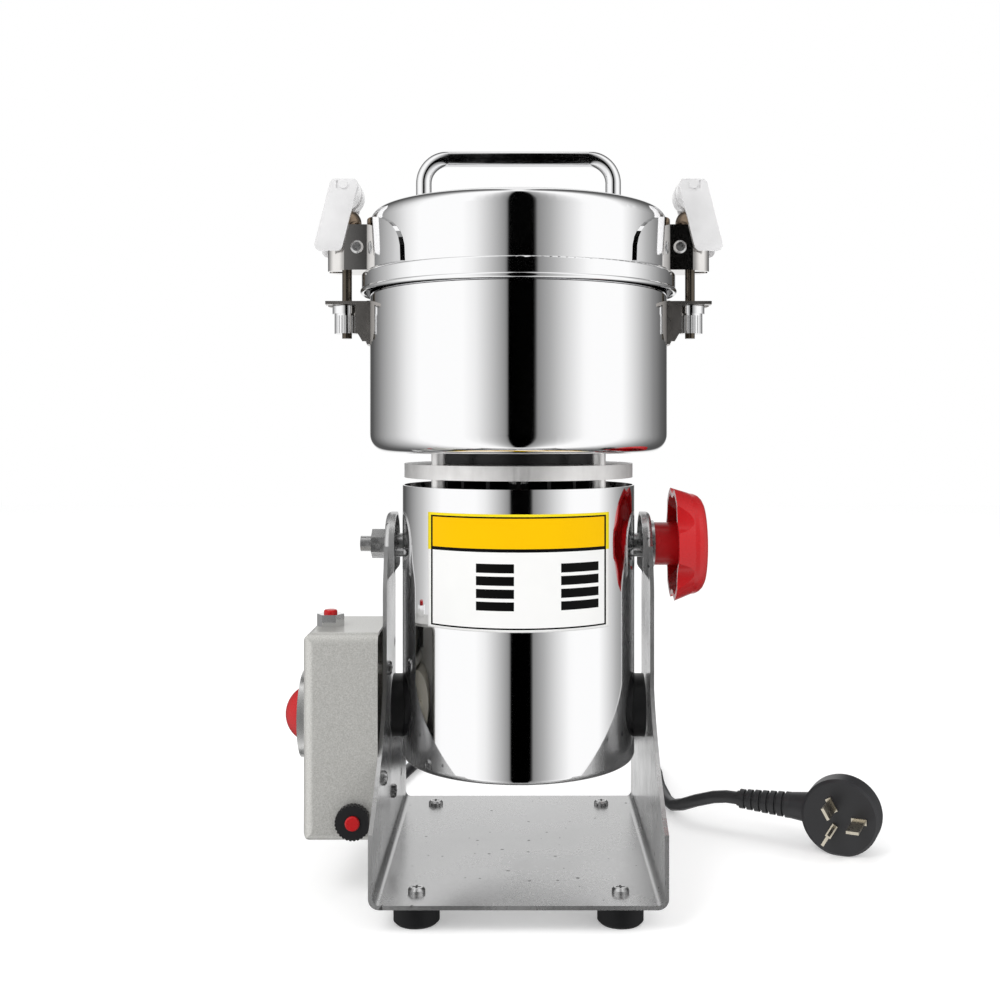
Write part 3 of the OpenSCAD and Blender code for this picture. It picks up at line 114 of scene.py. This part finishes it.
world = bpy.data.worlds.new("studio")
bpy.context.scene.world = world
world.use_nodes = True
room = world.node_tree
room.nodes.clear()
toward = room.nodes.new("ShaderNodeTexCoord").outputs["Generated"]
axes = room.nodes.new("ShaderNodeSeparateXYZ")
room.links.new(toward, axes.inputs[0])
around = sums(room, "ARCTAN2", axes.outputs["X"], sums(room, "MULTIPLY", axes.outputs["Y"], -1))
around = sums(room, "ADD", sums(room, "DIVIDE", around, 2 * math.pi), 0.5)
screens = ramp(room, around, [(0.5 + turn / 360, shade) for turn, shade in SCREENS])
elevation = sums(room, "ARCSINE", axes.outputs["Z"])
height = sums(room, "ADD", sums(room, "DIVIDE", elevation, math.pi), 0.5)
sideways = ramp(room, height, [(0.5 + up / 180, shade) for up, shade in SIDEWAYS])
ceiling = ramp(room, height, [(0.5 + up / 180, shade) for up, shade in CEILING])
seen_in_metal = sums(room, "ADD", sums(room, "MULTIPLY", screens, sideways), ceiling)
seen_in_metal = sums(room, "MULTIPLY", seen_in_metal, screen_light)
rays = room.nodes.new("ShaderNodeLightPath")


def chosen(tree, switch, off, on):
    """off where the switch is 0 and on where it is 1, as one value."""
    share = sums(tree, "MULTIPLY", switch, on)
    rest = sums(tree, "MULTIPLY", sums(tree, "SUBTRACT", 1, switch), off)
    return sums(tree, "ADD", share, rest)


strength = chosen(room, rays.outputs["Is Glossy Ray"], room_light, seen_in_metal)
strength = chosen(room, rays.outputs["Is Camera Ray"], strength, backdrop_light)
sky = node_of(room, "ShaderNodeBackground", Color=(1, 1, 1, 1))
room.links.new(strength, sky.inputs["Strength"])
out = room.nodes.new("ShaderNodeOutputWorld")
room.links.new(sky.outputs[0], out.inputs[0])

lamp_aim = Vector((mill_x, 0, 0.15))
LAMPS = [("key_lamp", (-0.9, -1.1, 1.5), 0.9, 16), ("side_lamp", (1.3, -0.5, 1.1), 0.8, 7)]
for name, place, size, watts in LAMPS:
    lamp = bpy.data.lights.new(name, "AREA")
    lamp.size = size
    lamp.energy = watts
    hung = bpy.data.objects.new(name, lamp)
    hung.location = place
    hung.rotation_euler = (lamp_aim - Vector(place)).to_track_quat("-Z", "Y").to_euler()
    hung.visible_glossy = False
    bpy.context.scene.collection.objects.link(hung)

floor_half = 3
floor_shade = 0.82
floor_glow = 0.3
floor_mesh = bpy.data.meshes.new("floor")
floor_mesh.from_pydata(
    [(x * floor_half, y * floor_half, 0) for x, y in ((-1, -1), (1, -1), (1, 1), (-1, 1))],
    [], [(0, 1, 2, 3)])
floor = bpy.data.objects.new("floor", floor_mesh)
bpy.context.scene.collection.objects.link(floor)
floor.visible_glossy = False
paper = bpy.data.materials.new("floor_paper")
paper.use_nodes = True
tree = paper.node_tree
tree.nodes.clear()
matt = node_of(tree, "ShaderNodeBsdfDiffuse", Color=(floor_shade, floor_shade, floor_shade, 1))
glow = node_of(tree, "ShaderNodeEmission", Color=(1, 1, 1, 1))
seen = tree.nodes.new("ShaderNodeLightPath").outputs["Is Camera Ray"]
tree.links.new(sums(tree, "MULTIPLY", seen, floor_glow), glow.inputs["Strength"])
both = tree.nodes.new("ShaderNodeAddShader")
tree.links.new(matt.outputs[0], both.inputs[0])
tree.links.new(glow.outputs[0], both.inputs[1])
tree.links.new(both.outputs[0], tree.nodes.new("ShaderNodeOutputMaterial").inputs[0])
floor_mesh.materials.append(paper)

# Base frame
# One stainless sheet bent into a U, with an upright grain, cloudy stains and small dark pits. Two
# necks carry the pivot, and four rubber feet are screwed under the base plate.


def finish(name, colour, metal, rough):
    """A new surface finish. Gives the material, its node tree and its shader."""
    made = bpy.data.materials.new(name)
    made.use_nodes = True
    tree = made.node_tree
    shader = tree.nodes["Principled BSDF"]
    shader.inputs["Base Color"].default_value = (*colour, 1)
    shader.inputs["Metallic"].default_value = metal
    shader.inputs["Roughness"].default_value = rough
    return made, tree, shader


def noise(tree, scale, stretch=(1, 1, 1), detail=3):
    """Uneven shade over the surface from 0 to 1, drawn out along the axes with a small stretch."""
    mapping = tree.nodes.new("ShaderNodeMapping")
    mapping.inputs["Scale"].default_value = stretch
    tree.links.new(tree.nodes.new("ShaderNodeTexCoord").outputs["Object"], mapping.inputs[0])
    made = node_of(tree, "ShaderNodeTexNoise", Scale=scale, Detail=detail)
    tree.links.new(mapping.outputs[0], made.inputs["Vector"])
    return made.outputs["Fac"]


def spread(tree, value, low, high, from_low=0.3, from_high=0.7):
    """Carries a value from one range over to another, low to high."""
    made = node_of(tree, "ShaderNodeMapRange")
    for socket, number in zip(made.inputs[1:5], (from_low, from_high, low, high)):
        socket.default_value = number
    tree.links.new(value, made.inputs[0])
    return made.outputs[0]


def tinted(tree, shader, value, dark, light):
    """Colours the surface between dark and light by a value."""
    tree.links.new(ramp(tree, value, [(0.3, dark), (0.7, light)]), shader.inputs["Base Color"])


def roughened(tree, shader, value, low, high):
    """Varies the roughness between low and high by a value."""
    tree.links.new(spread(tree, value, low, high), shader.inputs["Roughness"])


def dented(tree, shader, value, strength, depth):
    """Raises and sinks the surface by a value, up to depth in metres."""
    bump = node_of(tree, "ShaderNodeBump", Strength=strength, Distance=depth)
    tree.links.new(value, bump.inputs["Height"])
    tree.links.new(bump.outputs[0], shader.inputs["Normal"])


def dress(material, *names):
    """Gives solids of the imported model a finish."""
    for name in names:
        held = nodes[name].data.materials
        held.clear()
        held.append(material)


upright = (1, 1, 0.04)
sheet_grey = (0.59, 0.59, 0.59)
sheet_rough = 0.24
pit_shade = 0.3
frame_steel, tree, shader = finish("frame_steel", sheet_grey, 0.82, sheet_rough)
grain = noise(tree, 700, upright, 5)
stains = noise(tree, 20, detail=6)
pits = spread(tree, noise(tree, 300, detail=0), 1, pit_shade, 0.805, 0.825)
grain_rough = spread(tree, grain, sheet_rough - 0.03, sheet_rough + 0.03)
rough = sums(tree, "ADD", grain_rough, spread(tree, stains, -0.07, 0.09))
tree.links.new(rough, shader.inputs["Roughness"])
tint = tree.nodes.new("ShaderNodeVectorMath")
tint.operation = "SCALE"
tint.inputs[0].default_value = sheet_grey
shade = sums(tree, "MULTIPLY", spread(tree, stains, 0.84, 1.05), pits)
tree.links.new(shade, tint.inputs["Scale"])
tree.links.new(tint.outputs[0], shader.inputs["Base Color"])
dented(tree, shader, grain, 0.05, 0.0002)
dress(frame_steel, "base_frame", "shell_base")

foot_rubber, tree, shader = finish("foot_rubber", (0.007, 0.007, 0.008), 0, 0.6)
dented(tree, shader, noise(tree, 700, detail=4), 0.2, 0.0003)
shader.inputs["Specular IOR Level"].default_value = 0.2
dress(foot_rubber, "rubber_feet")

screw_steel, tree, shader = finish("screw_steel", (0.6, 0.6, 0.6), 1, 0.26)
roughened(tree, shader, noise(tree, 400), 0.18, 0.36)
dress(screw_steel, "foot_screws", "control_box_screws", "pivot_bolts", "pivot_nut", "stop_pins",
      "clamp_washer", "bracket_screws", "bearings", "rotor_shaft", "pivot_spacers")

# Control box
# A pressed steel cover in silver-grey speckled paint, screwed to the left plate. It carries the
# run timer, the overload breaker with its reset button, the power button and the lead's gland.
box_paint, tree, shader = finish("box_paint", (0.53, 0.525, 0.5), 0.4, 0.34)
speck = noise(tree, 1900, detail=5)
tinted(tree, shader, speck, (0.44, 0.435, 0.41), (0.63, 0.625, 0.6))
dented(tree, shader, speck, 0.12, 0.0002)
shader.inputs["Coat Weight"].default_value = 0.25
shader.inputs["Coat Roughness"].default_value = 0.25
dress(box_paint, "control_box_cover")

dial_metal, tree, shader = finish("dial_metal", (0.7, 0.7, 0.69), 1, 0.3)
roughened(tree, shader, noise(tree, 600, (1, 1, 0.05)), 0.2, 0.36)
dress(dial_metal, "timer_dial_plate")

red_plastic, tree, shader = finish("red_plastic", (0.5, 0.006, 0.009), 0, 0.24)
roughened(tree, shader, noise(tree, 90, detail=5), 0.18, 0.34)
tinted(tree, shader, noise(tree, 12), (0.44, 0.005, 0.008), (0.53, 0.008, 0.011))
shader.inputs["Specular IOR Level"].default_value = 0.3
shader.inputs["Coat Weight"].default_value = 0.12
shader.inputs["Coat Roughness"].default_value = 0.1
dress(red_plastic, "timer_knob", "reset_button", "power_button", "clamp_knob")

black_plastic, tree, shader = finish("black_plastic", (0.006, 0.006, 0.007), 0, 0.42)
dented(tree, shader, noise(tree, 1200, detail=3), 0.15, 0.0002)
dress(black_plastic, "breaker_ring_nut", "breaker_body", "brush_caps", "coupling_collar",
      "cooling_fan")

ivory_plastic, tree, shader = finish("ivory_plastic", (0.72, 0.69, 0.6), 0, 0.45)
roughened(tree, shader, noise(tree, 150), 0.38, 0.55)
dress(ivory_plastic, "timer_body")

# Motor unit
# A polished stainless tube closed by a vented disc. Inside it are the stator, its coils, two
# bearing brackets and the rotor, and the upper bracket's posts carry the bowl.
mirror_steel, tree, shader = finish("mirror_steel", (0.87, 0.87, 0.875), 1, 0.045)
roughened(tree, shader, noise(tree, 30, (1, 1, 0.3), 4), 0.027, 0.0765)
dress(mirror_steel, "motor_shell", "bowl", "lid")

# The rating label is a printed film stuck round the front of the tube, left without lettering:
# a yellow head over white, a thin black frame and two columns of black cells. Turns are degrees
# round the tube from its front, and heights are metres.
label_radius = 0.05962
label_film = 0.0001
label_half_turn = 47
label_step = 2.5
label_frame = (43.7, 44.9)
label_low, label_high = 0.1319, 0.1871
label_frame_low = (0.1331, 0.1339)
label_frame_high = (0.1851, 0.1859)
label_divider = (0.1693, 0.1709)
label_columns = ((-19.6, -2), (19.6, 39.9))
label_rows = ((0.1419, 0.1461), (0.1477, 0.152), (0.1537, 0.158), (0.1596, 0.1639))
INKS = [("label_white", (0.84, 0.84, 0.83)), ("label_black", (0.003, 0.003, 0.003)),
        ("label_yellow", (0.87, 0.5, 0)), ("label_edge_yellow", (0.84, 0.68, 0.02))]
white, black, yellow, edge_yellow = range(len(INKS))


def within(value, span):
    """Whether a value lies between the two ends of a span."""
    return span[0] < value < span[1]


def label_ink(turn, z):
    """The ink at a place on the label, by degrees round the tube and by height."""
    inside = abs(turn) < label_frame[0] and label_frame_low[1] < z < label_frame_high[0]
    framed = abs(turn) < label_frame[1] and label_frame_low[0] < z < label_frame_high[1]
    celled = any(within(turn, column) for column in label_columns) and any(
        within(z, row) for row in label_rows)
    if framed and not inside or inside and within(z, label_divider) or celled:
        return black
    if z < label_divider[0]:
        return white
    return yellow if inside else edge_yellow


turn_stops = [side * edge for side in (-1, 1) for edge in (*label_frame, label_half_turn)]
turn_stops = sorted(turn_stops + [edge for column in label_columns for edge in column])
turns = [turn_stops[0]]
for start, end in zip(turn_stops, turn_stops[1:]):
    parts = math.ceil((end - start) / label_step)
    turns += [start + (end - start) * part / parts for part in range(1, parts + 1)]
levels = sorted({label_low, label_high, *label_frame_low, *label_frame_high, *label_divider,
                 *[edge for row in label_rows for edge in row]})
label_mesh = bpy.data.meshes.new("rating_label")
label_mesh.from_pydata(
    [(mill_x + label_radius * math.sin(math.radians(turn)),
      -label_radius * math.cos(math.radians(turn)), z) for z in levels for turn in turns],
    [],
    [(row * len(turns) + place, row * len(turns) + place + 1,
      (row + 1) * len(turns) + place + 1, (row + 1) * len(turns) + place)
     for row in range(len(levels) - 1) for place in range(len(turns) - 1)])
for name, ink in INKS:
    film, tree, shader = finish(name, ink, 0, 0.45)
    shader.inputs["Specular IOR Level"].default_value = 0.06
    roughened(tree, shader, noise(tree, 80), 0.4, 0.55)
    tinted(tree, shader, noise(tree, 35), [0.97 * c for c in ink], ink)
    label_mesh.materials.append(film)
for face in label_mesh.polygons:
    row, place = divmod(face.index, len(turns) - 1)
    face.material_index = label_ink(
        (turns[place] + turns[place + 1]) / 2, (levels[row] + levels[row + 1]) / 2)
    face.use_smooth = True
rating_label = bpy.data.objects.new("rating_label", label_mesh)
bpy.context.scene.collection.objects.link(rating_label)
thick = rating_label.modifiers.new("film", "SOLIDIFY")
thick.thickness = label_film
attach(rating_label, "mill")

cast_aluminium, tree, shader = finish("cast_aluminium", (0.76, 0.75, 0.74), 0.7, 0.42)
tool_marks = noise(tree, 500, (1, 1, 0.08), 4)
roughened(tree, shader, tool_marks, 0.32, 0.52)
tinted(tree, shader, noise(tree, 60, detail=4), (0.68, 0.67, 0.66), (0.84, 0.83, 0.82))
dress(cast_aluminium, "upper_bracket", "lower_bracket")

core_iron, tree, shader = finish("core_iron", (0.16, 0.16, 0.165), 1, 0.5)
dented(tree, shader, noise(tree, 1400, (0.02, 0.02, 1), 2), 0.5, 0.0004)
dress(core_iron, "stator_core", "rotor_core")

coil_copper, tree, shader = finish("coil_copper", (0.45, 0.17, 0.07), 0.8, 0.32)
dented(tree, shader, noise(tree, 1600, (0.05, 1, 1), 2), 0.6, 0.0004)
dress(coil_copper, "field_coils", "commutator")

dome_brass, tree, shader = finish("dome_brass", (0.22, 0.165, 0.12), 1, 0.14)
roughened(tree, shader, noise(tree, 300), 0.1, 0.2)
tinted(tree, shader, noise(tree, 180, detail=4), (0.15, 0.11, 0.08), (0.28, 0.215, 0.155))
dress(dome_brass, "brush_holders", "ball_washer_left", "ball_washer_right")

# Bowl and lid
# The bowl is drawn from mirror polished sheet with welded lugs. The lid drops over its rim with a
# silicone gasket, and a bent rod handle is welded on top. The nuts and the button's bezel are
# plated as bright as the handle.
shiny_rod, tree, shader = finish("shiny_rod", (0.86, 0.86, 0.865), 1, 0.07)
roughened(tree, shader, noise(tree, 120), 0.05, 0.13)
dress(shiny_rod, "lid_handle", "knurled_nut_left", "knurled_nut_right", "switch_body")

gasket_silicone, tree, shader = finish("gasket_silicone", (0.78, 0.78, 0.75), 0, 0.5)
roughened(tree, shader, noise(tree, 200), 0.42, 0.6)
dress(gasket_silicone, "lid_gasket")

seal_rubber, tree, shader = finish("seal_rubber", (0.16, 0.03, 0.015), 0, 0.5)
roughened(tree, shader, noise(tree, 200), 0.42, 0.6)
dress(seal_rubber, "shaft_seal")

blade_steel, tree, shader = finish("blade_steel", (0.7, 0.7, 0.71), 1, 0.22)
roughened(tree, shader, noise(tree, 700, (0.05, 1, 1)), 0.14, 0.32)
dress(blade_steel, "lower_blade", "upper_blades", "blade_spacers", "blade_nut")

# Latches
# Each side has a cam lever on a threaded rod. The rod hangs from a rocking dome on the lid's
# bracket and pulls a knurled nut up under the bowl's lug.
rod_steel, tree, shader = finish("rod_steel", (0.1, 0.085, 0.067), 1, 0.22)
roughened(tree, shader, noise(tree, 300), 0.16, 0.3)
dress(rod_steel, "pull_rod_left", "pull_rod_right")


def plated(name, colour, metal, rough):
    """Pressed steel with a plating that is a little uneven, as on a barrel-plated part."""
    made, tree, shader = finish(name, colour, metal, rough)
    cloud = noise(tree, 70, detail=5)
    roughened(tree, shader, cloud, rough * 0.75, rough * 1.3)
    tinted(tree, shader, cloud, [0.94 * c for c in colour], [min(1, 1.04 * c) for c in colour])
    return made


# The levers are chrome, but their near-white, mostly matt colour is a painted reflection of the
# white room.
dress(plated("lever_chrome_painted_reflection", (0.95, 0.945, 0.95), 0.3, 0.18), "lever_left", "lever_right")
dress(plated("lug_steel", (0.4, 0.38, 0.36), 1, 0.26), "bowl_lugs")

# The brackets' pads are polished with the lid. From block_from to block_to, measured sideways
# from the mill's axis, the polish gives way to the plating of the block.
block_from = 0.0755
block_to = 0.0765
pad_rough = 0.06
block_rough = 0.1
pad_colour = (0.87, 0.87, 0.875, 1)
block_colour = (0.72, 0.7, 0.68)
block_dark = (0.68, 0.66, 0.64)
block_light = (0.76, 0.74, 0.72)
bracket_chrome, tree, shader = finish("bracket_chrome", block_colour, 1, block_rough)
cloud = noise(tree, 70, detail=5)
sideways_place = tree.nodes.new("ShaderNodeSeparateXYZ")
tree.links.new(tree.nodes.new("ShaderNodeTexCoord").outputs["Object"], sideways_place.inputs[0])
off_centre = sums(tree, "ABSOLUTE", sums(tree, "SUBTRACT", sideways_place.outputs["X"], mill_x))
block = spread(tree, off_centre, 0, 1, block_from, block_to)
tree.links.new(chosen(tree, block, pad_rough, block_rough), shader.inputs["Roughness"])
blended = tree.nodes.new("ShaderNodeMix")
blended.data_type = "RGBA"
tree.links.new(block, blended.inputs["Factor"])
blended.inputs["A"].default_value = pad_colour
tree.links.new(ramp(tree, cloud, [(0.3, block_dark), (0.7, block_light)]), blended.inputs["B"])
tree.links.new(blended.outputs["Result"], shader.inputs["Base Color"])
dress(bracket_chrome, "latch_brackets")

# Lead and plug
# A black rubber lead of 7 mm leaves the gland, is wound up with a tie behind the mill, and runs
# on along the floor to a moulded plug with three flat pins.
lead_d = 0.007
# The lead's middle line before and after the coil, with x from the mill's axis.
RUN = [
    (-0.085, 0.045, 0.045), (-0.085, 0.052, 0.045), (-0.085, 0.062, 0.0435),
    (-0.085, 0.072, 0.0395), (-0.085, 0.0805, 0.0335), (-0.0845, 0.0895, 0.0245),
    (-0.084, 0.0985, 0.016), (-0.083, 0.107, 0.0095), (-0.082, 0.1165, 0.0055),
    (-0.0805, 0.127, 0.0043), (-0.078, 0.141, 0.0043), (-0.075, 0.155, 0.0043),
    (-0.072, 0.169, 0.0043), (-0.069, 0.182, 0.0043), (-0.067, 0.195, 0.0043),
    (-0.066, 0.203, 0.0043), (-0.066, 0.208, 0.0043)
]
TAIL = [
    (-0.013, 0.261, 0.0119), (-0.006, 0.261, 0.0119), (0.008, 0.2605, 0.0113),
    (0.022, 0.2595, 0.0095), (0.036, 0.257, 0.007), (0.049, 0.252, 0.005),
    (0.061, 0.2445, 0.004), (0.071, 0.2345, 0.0035), (0.079, 0.2225, 0.0035),
    (0.085, 0.209, 0.0035), (0.0885, 0.195, 0.0035), (0.09, 0.18, 0.0035),
    (0.09, 0.165, 0.0035), (0.089, 0.15, 0.0035), (0.0885, 0.135, 0.0035),
    (0.089, 0.12, 0.0035), (0.0895, 0.107, 0.0035), (0.0915, 0.094, 0.0045),
    (0.0955, 0.082, 0.0085), (0.102, 0.0715, 0.014), (0.1105, 0.063, 0.0185),
    (0.117, 0.059, 0.02), (0.123, 0.056, 0.02)
]
coil_x, coil_y, coil_z = -0.02, 0.215, 0.0043
coil_out = 0.046
coil_pitch = 0.0076
coil_turns = 4.25
coil_turn_in = 2.125
coil_climb = 0.25
coil_steps = 24


def coil_point(turn):
    """A place on the coil: it spirals in, climbs a layer and spirals out again."""
    radius = coil_out - coil_pitch * (coil_turn_in - abs(turn - coil_turn_in))
    share = min(1, max(0, (turn - coil_turn_in + coil_climb) / (2 * coil_climb)))
    angle = math.radians(180 - 360 * turn)
    return (coil_x + radius * math.cos(angle), coil_y + radius * math.sin(angle),
            coil_z + coil_pitch * share)


coil = [coil_point(step / coil_steps) for step in range(int(coil_turns * coil_steps) + 1)]
route = RUN + coil + TAIL
line = bpy.data.curves.new("power_lead", "CURVE")
line.dimensions = "3D"
line.bevel_depth = lead_d / 2
line.bevel_resolution = 5
line.use_fill_caps = True
spline = line.splines.new("POLY")
spline.points.add(len(route) - 1)
for point, (x, y, z) in zip(spline.points, route):
    point.co = (mill_x + x, y, z, 1)
spline.use_smooth = True
power_lead = bpy.data.objects.new("power_lead", line)
bpy.context.scene.collection.objects.link(power_lead)
lead_rubber, tree, shader = finish("lead_rubber", (0.016, 0.016, 0.018), 0, 0.42)
dented(tree, shader, noise(tree, 500, detail=4), 0.15, 0.0002)
line.materials.append(lead_rubber)
dress(lead_rubber, "cord_gland", "plug_body")
dress(black_plastic, "cord_tie")
pin_brass, tree, shader = finish("pin_brass", (0.62, 0.57, 0.47), 1, 0.3)
roughened(tree, shader, noise(tree, 500, (1, 1, 0.1)), 0.2, 0.42)
dress(pin_brass, "plug_pins")
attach(power_lead, "frame")
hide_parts("cord_run", "cord_coil", "cord_tail")
